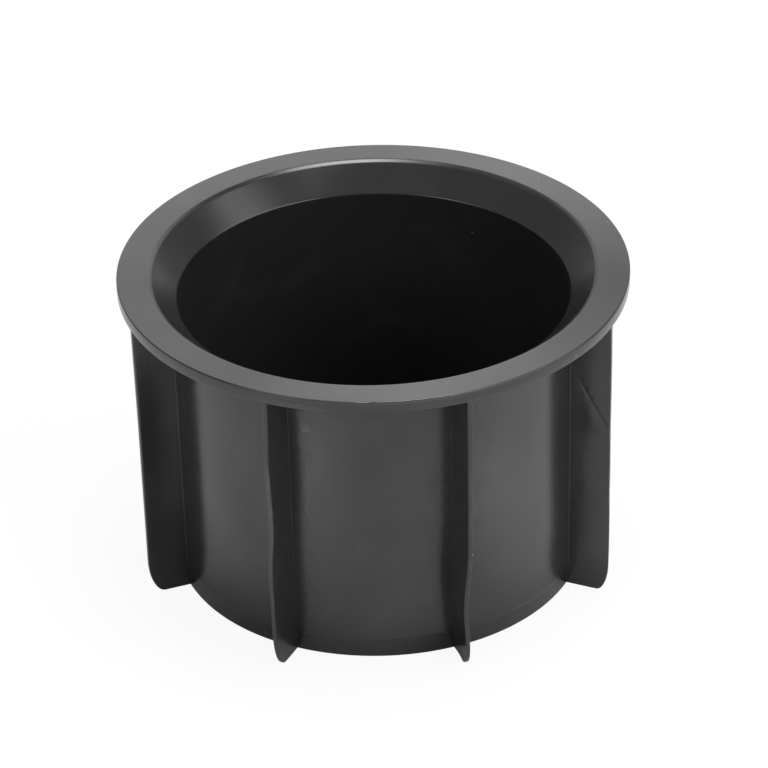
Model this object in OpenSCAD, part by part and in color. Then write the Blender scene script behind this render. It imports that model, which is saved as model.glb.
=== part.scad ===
// Drop-in cup holder insert: one soft plastic moulding with a flat rim, a
// funnel mouth, a straight-sided cup and thin fins that flex to grip a well.
// Millimetres, +Z up, the foot stands on Z = 0 and the cup's axis is the Z axis.

/* [Cup] */
// Inside diameter of the cup, where a drink stands
bore_d = 78; // [60:1:100]
// Overall height, from the foot to the top of the rim
cup_h = 65; // [45:1:90]
// Thickness of the wall
wall_t = 3.1; // [1.6:0.1:4]
// Thickness of the floor
floor_t = 2; // [1.6:0.1:4]
// Radius inside the cup where the wall meets the floor
floor_round = 3; // [1:0.5:6]

/* [Rim] */
// Width of the flat ring, from the funnel's edge to the outside
rim_w = 7; // [5:0.5:12]
// Thickness of the rim
rim_t = 2.5; // [1.8:0.1:4]
// Radius on the rim's outer edges
rim_round = 0.3; // [0.2:0.1:0.8]
// Width of the funnel, from its edge on the rim to the cup's wall
funnel_w = 4.75; // [3.5:0.25:7]
// Depth of the funnel, from the top of the rim
funnel_h = 5.2; // [4.4:0.1:8]
// Radius where the rim turns down into the funnel
lip_round = 1.5; // [0.5:0.1:2]
// Radius where the funnel turns down into the cup
throat_round = 0.4; // [0.2:0.1:1]

/* [Foot] */
// Height of the foot band round the bottom of the wall
foot_h = 4.2; // [2:0.1:6]
// Depth by which the foot band is set in from the wall
foot_inset = 0.8; // [0.2:0.1:1.2]
// Radius on the foot's lower edge
foot_round = 0.4; // [0.2:0.1:0.8]
// Width of the ring that the cup stands on
stand_w = 4; // [2.5:0.5:8]
// Depth of the hollow inside that ring
hollow_h = 0.6; // [0.3:0.1:1]

/* [Fins] */
// Number of fins round the cup
fin_count = 8; // [4:1:12]
// Thickness of a fin's free edge at the rim
fin_top_t = 1; // [0.8:0.1:1.6]
// Thickness of a fin's free edge at the foot; the difference is the moulding draft
fin_foot_t = 0.75; // [0.6:0.05:1.6]
// How much thicker a fin is where it grows out of the wall
fin_root_add = 0.3; // [0:0.1:1]
// Distance of a fin's free edge inside the rim's edge, at the rim
fin_top_inset = 0.25; // [0.1:0.05:1]
// Distance of a fin's free edge inside the rim's edge, at the foot
fin_foot_inset = 0.75; // [0.5:0.05:1.5]
// Height of the fins' lower ends above the ground
fin_lift = 0.3; // [0.2:0.1:2]
// Width of the rounded lower corner of a fin
corner_w = 3.2; // [1.5:0.1:4]
// Height of the rounded lower corner of a fin
corner_h = 8; // [3:0.5:12]
// How much of their real sideways set the bent fins show, 0 for straight ones
bend_share = 1; // [0:0.1:1.5]

/* [Hidden] */

bore_r = bore_d / 2;
mouth_r = bore_r + funnel_w;
rim_r = mouth_r + rim_w;
rim_under_z = cup_h - rim_t;
throat_z = cup_h - funnel_h;
wall_r = bore_r + wall_t;

// The funnel's outside runs parallel to its inside, a wall's thickness away
funnel_slope = funnel_h / funnel_w;
funnel_angle = atan(funnel_slope);
cone_shift = wall_t / sin(funnel_angle);
neck_z = throat_z - (cone_shift - wall_t) * funnel_slope;

// Segments in a profile's small arcs, and rows and columns in a fin's face
arc_steps = 6;
fin_rows = 26;
corner_rows = 6;
fin_cols = 5;

// How far a fin reaches into the rim above it
fin_bury = 0.6;
// Height below the rim over which a fin is held too stiffly to bend
stiff_h = 12;

// The set that each fin has taken, counted from the front right one: up to
// three bends, each [share of the fin's height, sideways mm, spread as a share]
fin_bends = [
    [[0.50, -0.06, 0.30], [0.22, -1.12, 0.16]],
    [[0.70, 0.30, 0.10], [0.22, 1.15, 0.18]],
    [[0.55, 0.35, 0.14], [0.18, -0.60, 0.14]],
    [[0.66, -0.30, 0.12], [0.30, 0.45, 0.15]],
    [[0.58, 0.25, 0.15], [0.24, -0.50, 0.12]],
    [[0.70, -0.25, 0.11], [0.40, 0.40, 0.12], [0.12, -0.45, 0.12]],
    [[0.62, 0.45, 0.18], [0.20, 0.40, 0.16]],
    [[0.80, -0.33, 0.12], [0.55, 0.22, 0.10], [0.31, -0.62, 0.18]]
];
// How large each fin's lower corner is, as a share of the size above
fin_corners = [1, 0.65, 1, 1, 1, 1, 1, 1];

// Points along an arc, from one angle to another
function arc(centre, radius, from, to) = [
    for (k = [0 : arc_steps])
        let (a = from + (to - from) * k / arc_steps)
        centre + radius * [cos(a), sin(a)]
];

// Inside and outside radius of the cup at a height
function inside_r(z) = bore_r + max(0, z - throat_z) / funnel_slope;
function outside_r(z) = z < neck_z ? wall_r : bore_r + cone_shift + (z - throat_z) / funnel_slope;

// Half section of the cup, anticlockwise from the middle of its underside
function cup_section() = let (
        stand_r = wall_r - foot_inset,
        lip_run = lip_round * tan(funnel_angle / 2),
        throat_run = throat_round * tan((90 - funnel_angle) / 2)
    ) concat(
        [[0, hollow_h], [stand_r - stand_w, hollow_h], [stand_r - stand_w, 0]],
        arc([stand_r - foot_round, foot_round], foot_round, -90, 0),
        [[stand_r, foot_h - foot_inset], [wall_r, foot_h]],
        [[wall_r, neck_z], [outside_r(rim_under_z), rim_under_z]],
        arc([rim_r - rim_round, rim_under_z + rim_round], rim_round, -90, 0),
        arc([rim_r - rim_round, cup_h - rim_round], rim_round, 0, 90),
        arc([mouth_r + lip_run, cup_h - lip_round], lip_round, 90, 90 + funnel_angle),
        arc([bore_r + throat_round, throat_z - throat_run], throat_round, 90 + funnel_angle, 180),
        arc([bore_r - floor_round, hollow_h + floor_t + floor_round], floor_round, 0, -90),
        [[0, hollow_h + floor_t]]
    );

module cup_shell() {
    rotate_extrude($fn = 180) polygon(cup_section());
}

// Ease from 0 to 1
function ease(u) = let (v = min(1, max(0, u))) v * v * (3 - 2 * v);

// Sideways set of a fin's free edge at a height
function sway(bends, z) = bend_share * ease((rim_under_z - z) / stiff_h) * add([
    for (b = bends) b[1] * exp(-pow((z / rim_under_z - b[0]) / b[2], 2))
]);

function add(values) = values * [for (v = values) 1];

// Radius of a fin's free edge at a height, drawn in round its lower corner
function edge_r(z, corner) =
    let (straight = rim_r - fin_foot_inset + (fin_foot_inset - fin_top_inset) * z / rim_under_z)
    let (drop = max(0, 1 - (z - fin_lift) / (corner * corner_h)))
    straight - corner * corner_w * (1 - sqrt(1 - drop * drop));

// Heights of a fin's rows: close together round the corner, then even
function fin_heights(corner) = concat(
    [for (k = [0 : corner_rows - 1])
        fin_lift + corner * corner_h * (1 - cos(90 * k / corner_rows))],
    [for (k = [0 : fin_rows])
        let (low = fin_lift + corner * corner_h)
        low + (rim_under_z + fin_bury - low) * k / fin_rows]
);

// One fin, radial along X, with its root buried in the middle of the wall
module fin(bends, corner) {
    heights = fin_heights(corner);
    rows = len(heights);
    cols = fin_cols + 1;
    side = rows * cols;
    points = [
        for (face = [-1, 1], z = heights, k = [0 : fin_cols])
            let (
                share = k / fin_cols,
                root_r = (inside_r(z) + outside_r(z)) / 2,
                r = root_r + (edge_r(z, corner) - root_r) * share,
                free_t = fin_foot_t + (fin_top_t - fin_foot_t) * z / rim_under_z,
                thick = free_t + fin_root_add * (1 - share)
            )
            [r, face * thick / 2 + sway(bends, z) * pow(share, 1.6), z]
    ];
    near = [for (j = [0 : rows - 2], k = [0 : fin_cols - 1]) let (a = j * cols + k)
        each [[a, a + cols + 1, a + 1], [a, a + cols, a + cols + 1]]];
    far = [for (t = near) [t[0] + side, t[2] + side, t[1] + side]];
    ends = [for (j = [0 : rows - 2], k = [0, fin_cols]) let (
            a = j * cols + k,
            b = a + cols
        )
        each k == 0 ? [[a, b + side, b], [a, a + side, b + side]]
                    : [[a, b, b + side], [a, b + side, a + side]]];
    caps = [for (j = [0, rows - 1], k = [0 : fin_cols - 1]) let (
            a = j * cols + k,
            b = a + 1
        )
        each j == 0 ? [[a, b, b + side], [a, b + side, a + side]]
                    : [[a, b + side, b], [a, a + side, b + side]]];
    polyhedron(points, concat(near, far, ends, caps), convexity = 4);
}

module cup_holder() {
    color("#2c2c2e") {
        cup_shell();
        for (i = [0 : fin_count - 1])
            rotate([0, 0, (i + 0.5) * 360 / fin_count - 90])
                fin(fin_bends[i % len(fin_bends)], fin_corners[i % len(fin_corners)]);
    }
}

cup_holder();
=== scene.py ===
"""The looks of a drop-in car cup holder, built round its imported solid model."""

import math

import bmesh
import bpy
from mathutils import Matrix, Vector


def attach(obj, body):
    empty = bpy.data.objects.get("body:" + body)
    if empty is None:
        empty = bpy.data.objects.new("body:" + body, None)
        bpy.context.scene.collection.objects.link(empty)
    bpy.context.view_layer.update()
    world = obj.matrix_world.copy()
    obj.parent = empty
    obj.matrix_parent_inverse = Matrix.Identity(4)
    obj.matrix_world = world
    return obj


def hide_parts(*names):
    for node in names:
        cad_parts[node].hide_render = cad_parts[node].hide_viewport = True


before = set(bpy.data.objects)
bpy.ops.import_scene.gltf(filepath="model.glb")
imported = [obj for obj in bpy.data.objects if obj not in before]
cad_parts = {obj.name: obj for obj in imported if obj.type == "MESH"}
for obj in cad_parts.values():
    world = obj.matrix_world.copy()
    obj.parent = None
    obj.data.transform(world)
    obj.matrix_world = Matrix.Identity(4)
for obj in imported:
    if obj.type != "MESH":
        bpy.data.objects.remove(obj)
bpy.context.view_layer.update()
MM = 0.001


# The photograph's camera: a long lens a little above the cup holder, which
# looks down at its front and into its mouth.
AXIS_POINT = Vector((0, 0, 35 * MM))
CAMERA_DISTANCE = 800 * MM
CAMERA_AZIMUTH = math.radians(2.1)
CAMERA_ELEVATION = math.radians(31.9)
CAMERA_ROLL = math.radians(-1.49)
SENSOR_WIDTH = 36
FOCAL_LENGTH = 185.99
LENS_SHIFT = (0.00997, 0.01467)

camera_right = Vector((math.cos(CAMERA_AZIMUTH), math.sin(CAMERA_AZIMUTH), 0))
camera_back = Vector((
    math.sin(CAMERA_AZIMUTH) * math.cos(CAMERA_ELEVATION),
    -math.cos(CAMERA_AZIMUTH) * math.cos(CAMERA_ELEVATION),
    math.sin(CAMERA_ELEVATION),
))
camera_up = camera_back.cross(camera_right)
level_right = camera_right.copy()
camera_right = level_right * math.cos(CAMERA_ROLL) + camera_up * math.sin(CAMERA_ROLL)
camera_up = camera_up * math.cos(CAMERA_ROLL) - level_right * math.sin(CAMERA_ROLL)

bpy.ops.object.camera_add()
camera = bpy.context.object
camera.name = "photo_camera"
camera.matrix_world = Matrix((camera_right, camera_up, camera_back)).transposed().to_4x4()
camera.location = AXIS_POINT + camera_back * CAMERA_DISTANCE
camera.data.sensor_width = SENSOR_WIDTH
camera.data.lens = FOCAL_LENGTH
camera.data.shift_x, camera.data.shift_y = LENS_SHIFT
camera.data.dof.use_dof = False
bpy.context.scene.camera = camera


# The cup: one revolved wall of soft black plastic, moulded in one shot with
# its floor, its funnel mouth, the flat rim round it and a low foot band.
SIDES = 240
BORE_R = 39 * MM
WALL_FOOT_R = 41.85 * MM
WALL_TOP_R = 42.25 * MM
FOOT_R = 41.4 * MM
STAND_R = 37.3 * MM
HOLLOW_Z = 0.6 * MM
FLOOR_Z = 2.6 * MM
BAND_Z = 4.3 * MM
NECK_Z = 58.7 * MM
THROAT_Z = 59.8 * MM
UNDER_RIM_Z = 62.5 * MM
CONE_R = 45.67 * MM
RIM_R = 50.75 * MM
MOUTH_R = 44.6 * MM
TOP_Z = 65 * MM
BAND_INSET = WALL_FOOT_R - FOOT_R
LIP_W = 0.75 * MM
LIP_H = 0.44 * MM
FUNNEL_SLOPE = (TOP_Z - LIP_H - THROAT_Z) / (MOUTH_R - LIP_W - BORE_R)
BESIDE_LIP = 0.4 * MM
BESIDE_THROAT = 0.34 * MM

# Rings of the section after the first, from the underside out and back in:
# radius, height, run of the ring's round, segments in it. The rings with no
# round keep the flat faces beside the rounded ones true.
CUP_RINGS = [
    (STAND_R, 0, 0.15 * MM, 2),
    (FOOT_R, 0, 0.3 * MM, 4),
    (FOOT_R, BAND_Z - BAND_INSET, 0.15 * MM, 3),
    (WALL_FOOT_R, BAND_Z, 0.2 * MM, 4),
    (WALL_FOOT_R + 0.01 * MM, BAND_Z + 0.7 * MM, 0, 0),
    (WALL_TOP_R - 0.01 * MM, NECK_Z - 1.3 * MM, 0, 0),
    (WALL_TOP_R, NECK_Z, 0.6 * MM, 4),
    (CONE_R, UNDER_RIM_Z, 0.35 * MM, 3),
    (RIM_R, UNDER_RIM_Z, 0.25 * MM, 4),
    (RIM_R, TOP_Z, 0.25 * MM, 4),
    (RIM_R - 0.45 * MM, TOP_Z, 0, 0),
    (MOUTH_R + 0.6 * MM, TOP_Z, 0, 0),
    (MOUTH_R, TOP_Z, 0.12 * MM, 4),
    (MOUTH_R - LIP_W, TOP_Z - LIP_H, 0.15 * MM, 4),
    (MOUTH_R - LIP_W - BESIDE_LIP, TOP_Z - LIP_H - BESIDE_LIP * FUNNEL_SLOPE, 0, 0),
    (BORE_R + BESIDE_THROAT, THROAT_Z + BESIDE_THROAT * FUNNEL_SLOPE, 0, 0),
    (BORE_R, THROAT_Z, 0.16 * MM, 4),
    (BORE_R, THROAT_Z - 0.6 * MM, 0, 0),
    (BORE_R, FLOOR_Z + 4 * MM, 0, 0),
    (BORE_R, FLOOR_Z, 3 * MM, 9),
    (BORE_R / 2, FLOOR_Z, 0, 0),
]
# How far from a ring a vertex may lie and still be one of its own
ON_RING = 0.01 * MM

# A small nick in the rim's top edge at the front
NICK_PLACE = Vector((0.25 * MM, -RIM_R, TOP_Z))
NICK_REACH = 0.62 * MM
NICK_PUSH = (0, 0.14 * MM, -0.22 * MM)


def select_where(piece, test):
    """Select the vertices of a piece in edit mode whose place passes a test."""
    bpy.ops.mesh.select_mode(type="VERT")
    bpy.ops.mesh.select_all(action="DESELECT")
    mesh = bmesh.from_edit_mesh(piece.data)
    for vertex in mesh.verts:
        vertex.select = test(vertex.co)
    mesh.select_flush(True)
    bmesh.update_edit_mesh(piece.data)


def on_ring(radius, height):
    """A test for the vertices of one ring of the cup."""
    def test(place):
        return (
            abs(math.hypot(place.x, place.y) - radius) < ON_RING
            and abs(place.z - height) < ON_RING
        )
    return test


bpy.ops.object.select_all(action="DESELECT")
bpy.ops.mesh.primitive_circle_add(
    vertices=SIDES, radius=STAND_R, fill_type="NGON", location=(0, 0, HOLLOW_Z)
)
cup = bpy.context.object
cup.name = "moulded_cup"
bpy.ops.object.transform_apply(location=True, rotation=True, scale=True)
bpy.ops.object.mode_set(mode="EDIT")
select_where(cup, on_ring(STAND_R, HOLLOW_Z))
bpy.ops.mesh.select_mode(type="EDGE")
ring_r, ring_z = STAND_R, HOLLOW_Z
bpy.ops.mesh.region_to_loop()
for next_r, next_z, *_ in CUP_RINGS:
    bpy.ops.mesh.extrude_edges_move(
        TRANSFORM_OT_translate={"value": (0, 0, next_z - ring_z)}
    )
    grow = next_r / ring_r
    bpy.ops.transform.resize(value=(grow, grow, 1), center_override=(0, 0, next_z))
    ring_r, ring_z = next_r, next_z
bpy.ops.mesh.edge_face_add()
bpy.ops.mesh.select_all(action="SELECT")
bpy.ops.mesh.normals_make_consistent(inside=False)
for round_r, round_z, run, segments in CUP_RINGS:
    if run:
        select_where(cup, on_ring(round_r, round_z))
        bpy.ops.mesh.bevel(
            offset_type="OFFSET", offset=run, segments=segments, affect="EDGES", clamp_overlap=False
        )
select_where(cup, lambda p: (p - NICK_PLACE).length < NICK_REACH)
bpy.ops.transform.translate(value=NICK_PUSH)
bpy.ops.object.mode_set(mode="OBJECT")


# The eight fins: thin upright blades that grow out of the wall and hang from
# the rim. Each has taken a sideways set of its own in use.
FIN_COUNT = 8
FIRST_FIN = math.radians(22.5 - 90)
ROOT_IN = 0.95 * MM
BASE_HALF = 1.5 * MM
ROOT_HALF = 0.6 * MM
EDGE_HALF = 0.5 * MM
FOOT_SHARE = 0.75
ROOT_FILLET = 0.12 * MM
EDGE_ROUND = 0.15 * MM
FIN_TOP_EDGE_R = 50.5 * MM
FIN_FOOT_EDGE_R = 50 * MM
FIN_LIFT = 0.3 * MM
CORNER_W = 3.2 * MM
CORNER_H = 8 * MM
CORNER_SHARES = [1, 0.65, 1, 1, 1, 1, 1, 1]
FIN_TOP_Z = UNDER_RIM_Z + 0.6 * MM
WALL_SINK = 0.03 * MM
# How far a vertex may lie from a place or a row and still be in it, and how
# far past a hinge it has to lie to turn about it
AT_PLACE = 0.001 * MM
IN_ROW = 0.002 * MM
PAST_HINGE = 0.05 * MM

# Places of a fin's columns between its root and its free edge
FIN_COLUMNS = [0.035, 0.19, 0.35, 0.51, 0.67, 0.82, 0.95, 1]
# A bend is shared out over three lines: place on the fin, share of the turn
FIN_HINGES = [(0.67, 0.35), (0.51, 0.35), (0.35, 0.3)]

# Heights of a fin's rows in mm, from inside the rim down to its lower end
FIN_ROWS = [
    63.1, 62.5, 62, 61, 60, 59, 57.5, 56,
    *range(54, 16, -2),
    16.5, 15, 13.5, 12, 10.5, 9.2, 8.3, 7.2, 6, 5,
    4.4, 3.8, 3.4, 3.1, 2.7, 2.3, 1.65, 1.15, 0.75, 0.48, 0.34, 0.3,
]

# Sideways set of each fin's free edge, counted from the front right one:
# pairs of height and set in mm, from the rim down
FIN_SETS = [
    [
        (62, -0.02), (50, -0.05), (38, -0.07), (32, -0.13), (28.2, -0.18), (24.5, -0.37),
        (20.8, -0.7), (17.5, -1.03), (13.3, -1.15), (9.5, -0.97), (5, -0.65), (0, -0.3),
    ],
    [
        (62, 0.08), (55, 0.32), (48, 0.4), (42, 0.36), (39, 0.3), (35.5, 0.5), (29, 0.48),
        (24.5, 0.68), (17.3, 1.05), (12, 1.18), (8, 1.0), (5, 0.6), (2, 0.15), (0, 0),
    ],
    [(62, 0), (48, 0.2), (34, 0.35), (22, -0.2), (12, -0.6), (6, -0.45), (0, -0.2)],
    [(62, 0), (50, -0.2), (40, -0.3), (28, 0.1), (18, 0.45), (10, 0.4), (0, 0.1)],
    [(62, 0), (48, 0.15), (36, 0.25), (25, -0.1), (15, -0.5), (8, -0.4), (0, -0.1)],
    [(62, 0), (46, -0.25), (34, 0.1), (25, 0.4), (16, 0.1), (8, -0.45), (3, -0.3), (0, -0.1)],
    [(62, 0.05), (50, 0.35), (39, 0.5), (28, 0.4), (16, 0.4), (9, 0.35), (4, 0.15), (0, 0)],
    [
        (62, -0.18), (54, -0.24), (47.6, -0.38), (41.3, -0.08), (35, 0.13), (31.5, 0), (28, -0.24),
        (24.5, -0.5), (20, -0.58), (15, -0.48), (11, -0.44), (6, -0.3), (0, -0.1),
    ],
]


def wall_line_at(height):
    """Radius just inside the cup's outside at a height, followed up the funnel."""
    draft = (WALL_TOP_R - WALL_FOOT_R) / (NECK_Z - BAND_Z)
    slope = (CONE_R - WALL_TOP_R) / (UNDER_RIM_Z - NECK_Z)
    if height > NECK_Z:
        return WALL_TOP_R - WALL_SINK + (height - NECK_Z) * slope
    if height < BAND_Z:
        return max(FOOT_R, WALL_FOOT_R - (BAND_Z - height)) - WALL_SINK
    return WALL_FOOT_R - WALL_SINK + (height - BAND_Z) * draft


def fin_edge_at(height, corner):
    """Radius of a fin's free edge at a height, drawn in round its lower corner."""
    share = height / UNDER_RIM_Z
    straight = FIN_FOOT_EDGE_R + (FIN_TOP_EDGE_R - FIN_FOOT_EDGE_R) * share
    drop = max(0, 1 - (height - FIN_LIFT) / (corner * CORNER_H))
    return straight - corner * CORNER_W * (1 - math.sqrt(max(0, 1 - drop * drop)))


def set_at(pairs, height):
    """Sideways set at a height, on a smooth curve through a fin's pairs."""
    places = [(h * MM, s * MM) for h, s in pairs]
    if height >= places[0][0]:
        return places[0][1]
    for k in range(len(places) - 1):
        (high, start), (low, end) = places[k], places[k + 1]
        if height >= low:
            before = places[max(0, k - 1)]
            after = places[min(len(places) - 1, k + 2)]
            start_slope = (end - before[1]) / (low - before[0])
            end_slope = (after[1] - start) / (after[0] - high)
            run = low - high
            u = (height - high) / run
            return (
                start * (2 * u**3 - 3 * u**2 + 1)
                + start_slope * run * (u**3 - 2 * u**2 + u)
                + end * (3 * u**2 - 2 * u**3)
                + end_slope * run * (u**3 - u**2)
            )
    return places[-1][1]


def model_fin(number, pairs, corner):
    """One fin, extruded row by row from the rim down, then bent and turned to its place."""
    top = FIN_TOP_Z
    edge = fin_edge_at(top, corner)
    base = wall_line_at(0)

    bpy.ops.object.select_all(action="DESELECT")
    bpy.ops.mesh.primitive_plane_add(size=1)
    fin = bpy.context.object
    fin.name = f"fin_{number + 1}"
    bpy.ops.object.mode_set(mode="EDIT")
    bpy.ops.mesh.select_all(action="SELECT")
    bpy.ops.transform.resize(value=(ROOT_IN, 2 * BASE_HALF, 1))
    bpy.ops.transform.translate(value=(base - ROOT_IN / 2, 0, top))

    # The root's edge is cut in three, and its middle is drawn out into the blade
    for side in (-1, 1):
        bpy.ops.mesh.select_all(action="SELECT")
        bpy.ops.mesh.bisect(plane_co=(0, side * ROOT_HALF, 0), plane_no=(0, 1, 0))
    select_where(fin, lambda p: p.x > base - AT_PLACE and abs(p.y) < ROOT_HALF + AT_PLACE)
    bpy.ops.mesh.select_mode(type="EDGE")
    reach = edge - base
    share, half = 0, ROOT_HALF
    for next_share in FIN_COLUMNS:
        bpy.ops.mesh.extrude_edges_move(
            TRANSFORM_OT_translate={"value": (reach * (next_share - share), 0, 0)}
        )
        next_half = ROOT_HALF + (EDGE_HALF - ROOT_HALF) * next_share
        bpy.ops.transform.resize(value=(1, next_half / half, 1), center_override=(0, 0, top))
        share, half = next_share, next_half
    select_where(fin, lambda p: p.x > edge - AT_PLACE)
    bpy.ops.mesh.bevel(
        offset_type="OFFSET", offset=EDGE_ROUND, segments=3, affect="VERTICES", clamp_overlap=False
    )
    select_where(
        fin, lambda p: abs(p.x - base) < AT_PLACE and abs(abs(p.y) - ROOT_HALF) < AT_PLACE
    )
    bpy.ops.mesh.bevel(
        offset_type="OFFSET", offset=ROOT_FILLET, segments=4, affect="VERTICES", clamp_overlap=False
    )

    # The section is drawn down row by row, and each row is stretched to its width
    bpy.ops.mesh.select_all(action="SELECT")
    bpy.ops.transform.resize(
        value=((edge - wall_line_at(top)) / (edge - base), 1, 1), center_override=(edge, 0, top)
    )
    height, root, thick = top, wall_line_at(top), 1
    for row in FIN_ROWS[1:]:
        next_height = row * MM
        bpy.ops.mesh.extrude_region_move(
            TRANSFORM_OT_translate={"value": (0, 0, next_height - height)}
        )
        next_root, next_edge = wall_line_at(next_height), fin_edge_at(next_height, corner)
        bpy.ops.transform.resize(
            value=((next_edge - next_root) / (edge - root), 1, 1),
            center_override=(root, 0, next_height),
        )
        bpy.ops.transform.translate(value=(next_root - root, 0, 0))
        next_thick = FOOT_SHARE + (1 - FOOT_SHARE) * next_height / top
        bpy.ops.transform.resize(
            value=(1, next_thick / thick, 1), center_override=(0, 0, next_height)
        )
        height, root, edge, thick = next_height, next_root, next_edge, next_thick

    # Each row is turned a little about its three hinges, which bends the blade sideways
    arm = sum(turn * (1 - place) for place, turn in FIN_HINGES)
    for row in FIN_ROWS:
        row_height = row * MM
        root, edge = wall_line_at(row_height), fin_edge_at(row_height, corner)
        angle = math.asin(set_at(pairs, row_height) / (edge - root) / arm)
        for place, turn in FIN_HINGES:
            hinge = root + place * (edge - root)
            select_where(
                fin, lambda p: abs(p.z - row_height) < IN_ROW and p.x > hinge + PAST_HINGE
            )
            bpy.ops.transform.rotate(
                value=-angle * turn, orient_axis="Z", center_override=(hinge, 0, row_height)
            )
    bpy.ops.mesh.select_all(action="SELECT")
    bpy.ops.mesh.normals_make_consistent(inside=False)
    bpy.ops.transform.rotate(
        value=-(FIRST_FIN + number * 2 * math.pi / FIN_COUNT),
        orient_axis="Z",
        center_override=(0, 0, 0),
    )
    bpy.ops.object.mode_set(mode="OBJECT")
    return fin


fins = [
    model_fin(number, pairs, CORNER_SHARES[number]) for number, pairs in enumerate(FIN_SETS)
]


# The fin on the right has been folded once: a crease runs from near the wall down
# to its free edge, and the blade below it is left a little uneven.
FOLDED = 1
CREASE_TOP_R = 44.3 * MM
CREASE_TOP_Z = 48.65 * MM
CREASE_TILT = math.radians(30)
CREASE_HALF = 0.16 * MM
CREASE_DEPTH = 0.03 * MM
ON_CREASE = 0.01 * MM
fold_angle = FIRST_FIN + FOLDED * 2 * math.pi / FIN_COUNT
fold_out = Vector((math.cos(fold_angle), math.sin(fold_angle), 0))
fold_side = Vector((-math.sin(fold_angle), math.cos(fold_angle), 0))
crease_place = fold_out * CREASE_TOP_R + Vector((0, 0, CREASE_TOP_Z))
crease_normal = fold_out * math.cos(CREASE_TILT) + Vector((0, 0, math.sin(CREASE_TILT)))
# Soft pushes below the crease: radius, height, sideways push, reach. The
# middle of each one moves by the whole push.
PUSH_MIDDLE = 1.3 * MM
PUSHES = [
    (48.6 * MM, 39.6 * MM, -0.16 * MM, 4 * MM),
    (48.5 * MM, 30 * MM, 0.12 * MM, 5 * MM),
    (48 * MM, 22 * MM, -0.1 * MM, 4.5 * MM),
]

folded = fins[FOLDED]
bpy.ops.object.select_all(action="DESELECT")
folded.select_set(True)
bpy.context.view_layer.objects.active = folded
bpy.ops.object.mode_set(mode="EDIT")
for offset in (-CREASE_HALF, CREASE_HALF, 0):
    bpy.ops.mesh.select_all(action="SELECT")
    bpy.ops.mesh.bisect(plane_co=crease_place + crease_normal * offset, plane_no=crease_normal)
bpy.ops.mesh.mark_sharp()


def past_crease(place):
    """Distance of a place from the crease, outwards and up."""
    return (place - crease_place).dot(crease_normal)


select_where(folded, lambda p: abs(past_crease(p)) < ON_CREASE and p.dot(fold_out) > CREASE_TOP_R)
bpy.ops.transform.translate(value=fold_side * CREASE_DEPTH)
select_where(folded, lambda p: past_crease(p) > -CREASE_HALF - ON_CREASE)
bpy.ops.mesh.hide()
for push_r, push_z, push, push_reach in PUSHES:
    middle = fold_out * push_r + Vector((0, 0, push_z))
    select_where(folded, lambda p: (p - middle).cross(fold_side).length < PUSH_MIDDLE)
    bpy.ops.transform.translate(
        value=fold_side * push,
        use_proportional_edit=True,
        proportional_edit_falloff="SMOOTH",
        proportional_size=push_reach,
    )
bpy.ops.mesh.reveal(select=False)
bpy.ops.object.mode_set(mode="OBJECT")


# The finish: black plastic straight from the mould, a little glossy and cloudy,
# with fine turned streaks on the rim, faint wisps and a few specks of dust.
BLACK = (0.0155, 0.0155, 0.0165, 1)
RUBBED_BLACK = (0.034, 0.034, 0.035, 1)
DUST_GREY = (0.3, 0.3, 0.3, 1)
ROUGH_LOW, ROUGH_HIGH = 0.215, 0.27
WALL_GLOSS = 0.5
# Painted sheen: the rim's gloss, set by azimuth so that it stands in for how the light falls round
# the rim: share of a turn, gloss
RIM_PAINTED_SHEEN = [
    (0.04, 0.42), (0.13, 0.45), (0.19, 0.39), (0.27, 0.9), (0.31, 0.74), (0.38, 0.5),
    (0.47, 0.17), (0.56, 0.46), (0.66, 0.88), (0.76, 0.48), (0.86, 0.61), (0.96, 0.42),
]


def map_range(nodes, links, value, start, end, low, high):
    """A node that carries one range of values over to another."""
    node = nodes.new("ShaderNodeMapRange")
    node.inputs["From Min"].default_value = start
    node.inputs["From Max"].default_value = end
    node.inputs["To Min"].default_value = low
    node.inputs["To Max"].default_value = high
    links.new(value, node.inputs["Value"])
    return node.outputs["Result"]


def product(nodes, links, first, second):
    """A node that multiplies two values."""
    node = nodes.new("ShaderNodeMath")
    node.operation = "MULTIPLY"
    links.new(first, node.inputs[0])
    links.new(second, node.inputs[1])
    return node.outputs["Value"]


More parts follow.
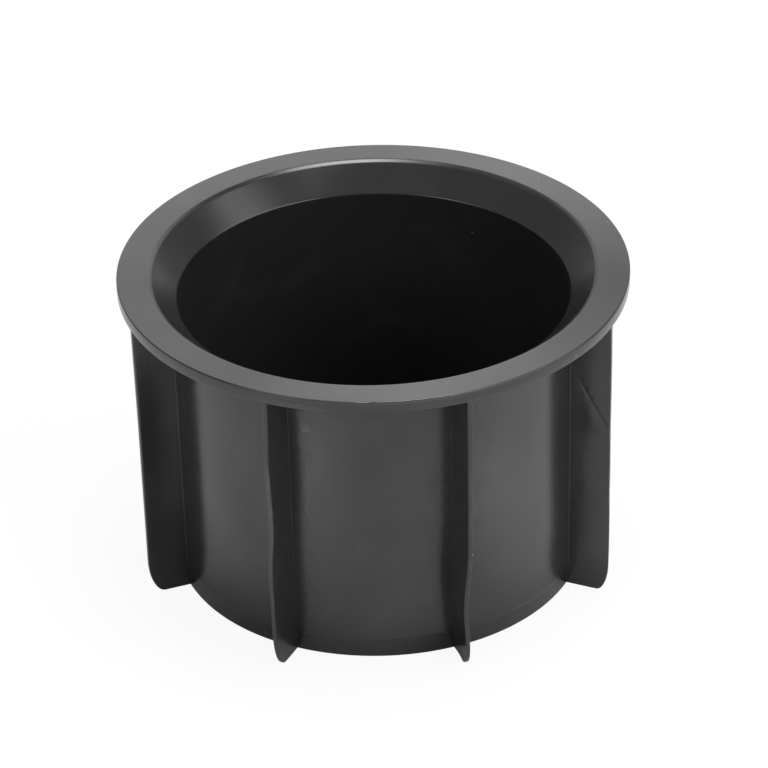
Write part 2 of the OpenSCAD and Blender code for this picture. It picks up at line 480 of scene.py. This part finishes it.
def black_plastic():
    """The one finish of the whole moulding."""
    finish = bpy.data.materials.new("black_plastic")
    finish.use_nodes = True
    nodes, links = finish.node_tree.nodes, finish.node_tree.links
    shader = nodes["Principled BSDF"]
    shader.inputs["IOR"].default_value = 1.5
    place = nodes.new("ShaderNodeTexCoord").outputs["Object"]

    # Radius from the cup's axis, and the direction out from it
    flat = nodes.new("ShaderNodeVectorMath")
    flat.operation = "MULTIPLY"
    flat.inputs[1].default_value = (1, 1, 0)
    links.new(place, flat.inputs[0])
    radius = nodes.new("ShaderNodeVectorMath")
    radius.operation = "LENGTH"
    links.new(flat.outputs["Vector"], radius.inputs[0])
    outward = nodes.new("ShaderNodeVectorMath")
    outward.operation = "NORMALIZE"
    links.new(flat.outputs["Vector"], outward.inputs[0])
    split = nodes.new("ShaderNodeSeparateXYZ")
    links.new(place, split.inputs["Vector"])
    on_rim = map_range(nodes, links, split.outputs["Z"], TOP_Z - 0.8 * MM, TOP_Z - 0.2 * MM, 0, 1)

    # Fine streaks round the rim: quick changes outwards, slow ones round the axis
    streak_place = nodes.new("ShaderNodeCombineXYZ")
    streak_depth = map_range(nodes, links, radius.outputs["Value"], 0, 50 * MM, 0, 70)
    links.new(streak_depth, streak_place.inputs["Z"])
    streak_turn = nodes.new("ShaderNodeVectorMath")
    streak_turn.operation = "MULTIPLY_ADD"
    streak_turn.inputs[1].default_value = (2.5, 2.5, 0)
    links.new(outward.outputs["Vector"], streak_turn.inputs[0])
    links.new(streak_place.outputs["Vector"], streak_turn.inputs[2])
    streaks = nodes.new("ShaderNodeTexNoise")
    streaks.inputs["Scale"].default_value = 1
    streaks.inputs["Detail"].default_value = 3
    links.new(streak_turn.outputs["Vector"], streaks.inputs["Vector"])
    relief = nodes.new("ShaderNodeBump")
    relief.inputs["Strength"].default_value = 0.35
    relief.inputs["Distance"].default_value = 0.03 * MM
    links.new(product(nodes, links, streaks.outputs["Fac"], on_rim), relief.inputs["Height"])
    links.new(relief.outputs["Normal"], shader.inputs["Normal"])

    # Cloudy patches in the gloss, and a painted sheen on the rim: its gloss is set by azimuth to
    # stand in for how the light falls round it
    clouds = nodes.new("ShaderNodeTexNoise")
    clouds.inputs["Scale"].default_value = 75
    clouds.inputs["Detail"].default_value = 2
    links.new(place, clouds.inputs["Vector"])
    links.new(
        map_range(nodes, links, clouds.outputs["Fac"], 0.3, 0.7, ROUGH_LOW, ROUGH_HIGH),
        shader.inputs["Roughness"],
    )
    around = nodes.new("ShaderNodeTexGradient")
    around.gradient_type = "RADIAL"
    links.new(place, around.inputs["Vector"])
    painted_rim_sheen = nodes.new("ShaderNodeValToRGB")
    painted_rim_sheen.color_ramp.interpolation = "B_SPLINE"
    stops = painted_rim_sheen.color_ramp.elements
    stops[0].position, stops[1].position = RIM_PAINTED_SHEEN[0][0], RIM_PAINTED_SHEEN[-1][0]
    for turn, _ in RIM_PAINTED_SHEEN[1:-1]:
        stops.new(turn)
    for stop, (_, gloss) in zip(stops, RIM_PAINTED_SHEEN):
        stop.color = (gloss, gloss, gloss, 1)
    links.new(around.outputs["Fac"], painted_rim_sheen.inputs["Fac"])
    # The rim takes the painted sheen, the rest of the moulding a plain gloss
    gloss_with_rim_sheen = nodes.new("ShaderNodeMix")
    gloss_with_rim_sheen.data_type = "FLOAT"
    gloss_with_rim_sheen.inputs["A"].default_value = WALL_GLOSS
    links.new(on_rim, gloss_with_rim_sheen.inputs["Factor"])
    links.new(painted_rim_sheen.outputs["Color"], gloss_with_rim_sheen.inputs["B"])
    cloud_gloss = map_range(nodes, links, clouds.outputs["Fac"], 0.3, 0.7, 0.9, 1.1)
    links.new(
        product(nodes, links, gloss_with_rim_sheen.outputs["Result"], cloud_gloss),
        shader.inputs["Specular IOR Level"],
    )

    # Pale wisps where the plastic was rubbed, and a few specks of dust
    wisps = nodes.new("ShaderNodeTexNoise")
    wisps.inputs["Scale"].default_value = 60
    wisps.inputs["Detail"].default_value = 2
    wisps.inputs["Distortion"].default_value = 0.6
    links.new(place, wisps.inputs["Vector"])
    wisp_share = map_range(nodes, links, wisps.outputs["Fac"], 0.55, 0.85, 0, 0.5)
    rubbed = nodes.new("ShaderNodeMix")
    rubbed.data_type = "RGBA"
    rubbed.inputs["A"].default_value = BLACK
    rubbed.inputs["B"].default_value = RUBBED_BLACK
    links.new(wisp_share, rubbed.inputs["Factor"])
    dust = nodes.new("ShaderNodeTexVoronoi")
    dust.inputs["Scale"].default_value = 150
    links.new(place, dust.inputs["Vector"])
    grains = map_range(nodes, links, dust.outputs["Distance"], 0.02, 0.045, 1, 0)
    cell = nodes.new("ShaderNodeSeparateColor")
    links.new(dust.outputs["Color"], cell.inputs["Color"])
    few = map_range(nodes, links, cell.outputs["Red"], 0.88, 0.89, 0, 0.3)
    dusty = nodes.new("ShaderNodeMix")
    dusty.data_type = "RGBA"
    dusty.inputs["B"].default_value = DUST_GREY
    links.new(product(nodes, links, grains, few), dusty.inputs["Factor"])
    links.new(rubbed.outputs["Result"], dusty.inputs["A"])
    links.new(dusty.outputs["Result"], shader.inputs["Base Color"])
    return finish


plastic = black_plastic()

bpy.ops.object.select_all(action="DESELECT")
for fin in fins:
    fin.select_set(True)
cup.select_set(True)
bpy.context.view_layer.objects.active = cup
bpy.ops.object.join()
bpy.ops.object.shade_smooth_by_angle(angle=math.radians(35))
cup.data.materials.clear()
cup.data.materials.append(plastic)
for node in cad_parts.values():
    node.data.materials.clear()
    node.data.materials.append(plastic)
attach(cup, "root")
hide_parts("cup_holder")


# The studio: a plain white floor in a white room, soft boxes overhead, behind, at
# the right and at both front corners, and two small pools of light on the floor.
FLOOR_SIZE = 6
FLOOR_WHITE = (0.85, 0.85, 0.85, 1)
# Share of plain white in what the camera sees of the floor; the rest is its shade
FLOOR_GLOW = 0.92
ROOM_LIGHT = 0.31
FLOOR_AIM = (0, 0, 20 * MM)
MIDDLE_AIM = (0, 0, 50 * MM)
POOL_SIZE = 30 * MM
POOL_SPREAD = math.radians(6)

bpy.ops.object.select_all(action="DESELECT")
bpy.ops.mesh.primitive_plane_add(size=FLOOR_SIZE)
floor = bpy.context.object
floor.name = "studio_floor"
paper = bpy.data.materials.new("white_paper")
paper.use_nodes = True
nodes, links = paper.node_tree.nodes, paper.node_tree.links
nodes["Principled BSDF"].inputs["Base Color"].default_value = FLOOR_WHITE
nodes["Principled BSDF"].inputs["Roughness"].default_value = 1
nodes["Principled BSDF"].inputs["Specular IOR Level"].default_value = 0
glow = nodes.new("ShaderNodeEmission")
glow.inputs["Strength"].default_value = 1
rays = nodes.new("ShaderNodeLightPath")
share = nodes.new("ShaderNodeMath")
share.operation = "MULTIPLY"
share.inputs[1].default_value = FLOOR_GLOW
mix = nodes.new("ShaderNodeMixShader")
links.new(rays.outputs["Is Camera Ray"], share.inputs[0])
links.new(share.outputs["Value"], mix.inputs["Fac"])
links.new(nodes["Principled BSDF"].outputs["BSDF"], mix.inputs[1])
links.new(glow.outputs["Emission"], mix.inputs[2])
links.new(mix.outputs["Shader"], nodes["Material Output"].inputs["Surface"])
floor.data.materials.append(paper)

world = bpy.data.worlds.new("white_room")
bpy.context.scene.world = world
world.use_nodes = True
nodes, links = world.node_tree.nodes, world.node_tree.links
room = nodes["Background"]
room.inputs["Color"].default_value = (1, 1, 1, 1)
room.inputs["Strength"].default_value = ROOM_LIGHT
white = nodes.new("ShaderNodeBackground")
white.inputs["Strength"].default_value = 1
rays = nodes.new("ShaderNodeLightPath")
mix = nodes.new("ShaderNodeMixShader")
links.new(rays.outputs["Is Camera Ray"], mix.inputs["Fac"])
links.new(room.outputs["Background"], mix.inputs[1])
links.new(white.outputs["Background"], mix.inputs[2])
links.new(mix.outputs["Shader"], nodes["World Output"].inputs["Surface"])


def soft_light(name, place, aim, width, height, radiance):
    """A broad soft light of a given brightness, aimed at a point."""
    bpy.ops.object.light_add(type="AREA", location=place)
    light = bpy.context.object
    light.name = name
    light.data.shape = "RECTANGLE"
    light.data.size = width
    light.data.size_y = height
    light.data.energy = 4 * radiance * width * height
    toward = Vector(aim) - Vector(place)
    light.rotation_euler = toward.to_track_quat("-Z", "Y").to_euler()
    return light


soft_light("light_top", (0.13, 0.03, 1.2), FLOOR_AIM, 0.4, 0.45, 9)
soft_light("light_strip", (0.13, -0.05, 1.2), FLOOR_AIM, 0.42, 0.8, 1.6)
soft_light("light_right", (0.9, -0.15, 0.55), FLOOR_AIM, 0.7, 0.8, 1.95)
soft_light("light_back", (0, 1.1, 0.85), MIDDLE_AIM, 1.6, 0.9, 1.14)
soft_light("light_low_back", (0, 1.3, 0.3), MIDDLE_AIM, 1.6, 0.35, 0.4)
soft_light("light_front_left", (-0.9, -0.9, 0.7), FLOOR_AIM, 0.6, 0.6, 3.2)
soft_light("light_front_right", (0.9, -0.9, 0.7), FLOOR_AIM, 0.6, 0.6, 4)
for name, place, aim, radiance in (
    ("pool_left", (-0.1, -0.19, 0.5), (-0.056, -0.092, 0), 6.5),
    ("pool_right", (0.18, -0.12, 0.5), (0.075, -0.056, 0), 2.3),
):
    pool = soft_light(name, place, aim, POOL_SIZE, POOL_SIZE, radiance)
    pool.data.spread = POOL_SPREAD

bpy.context.scene.view_settings.view_transform = "Standard"
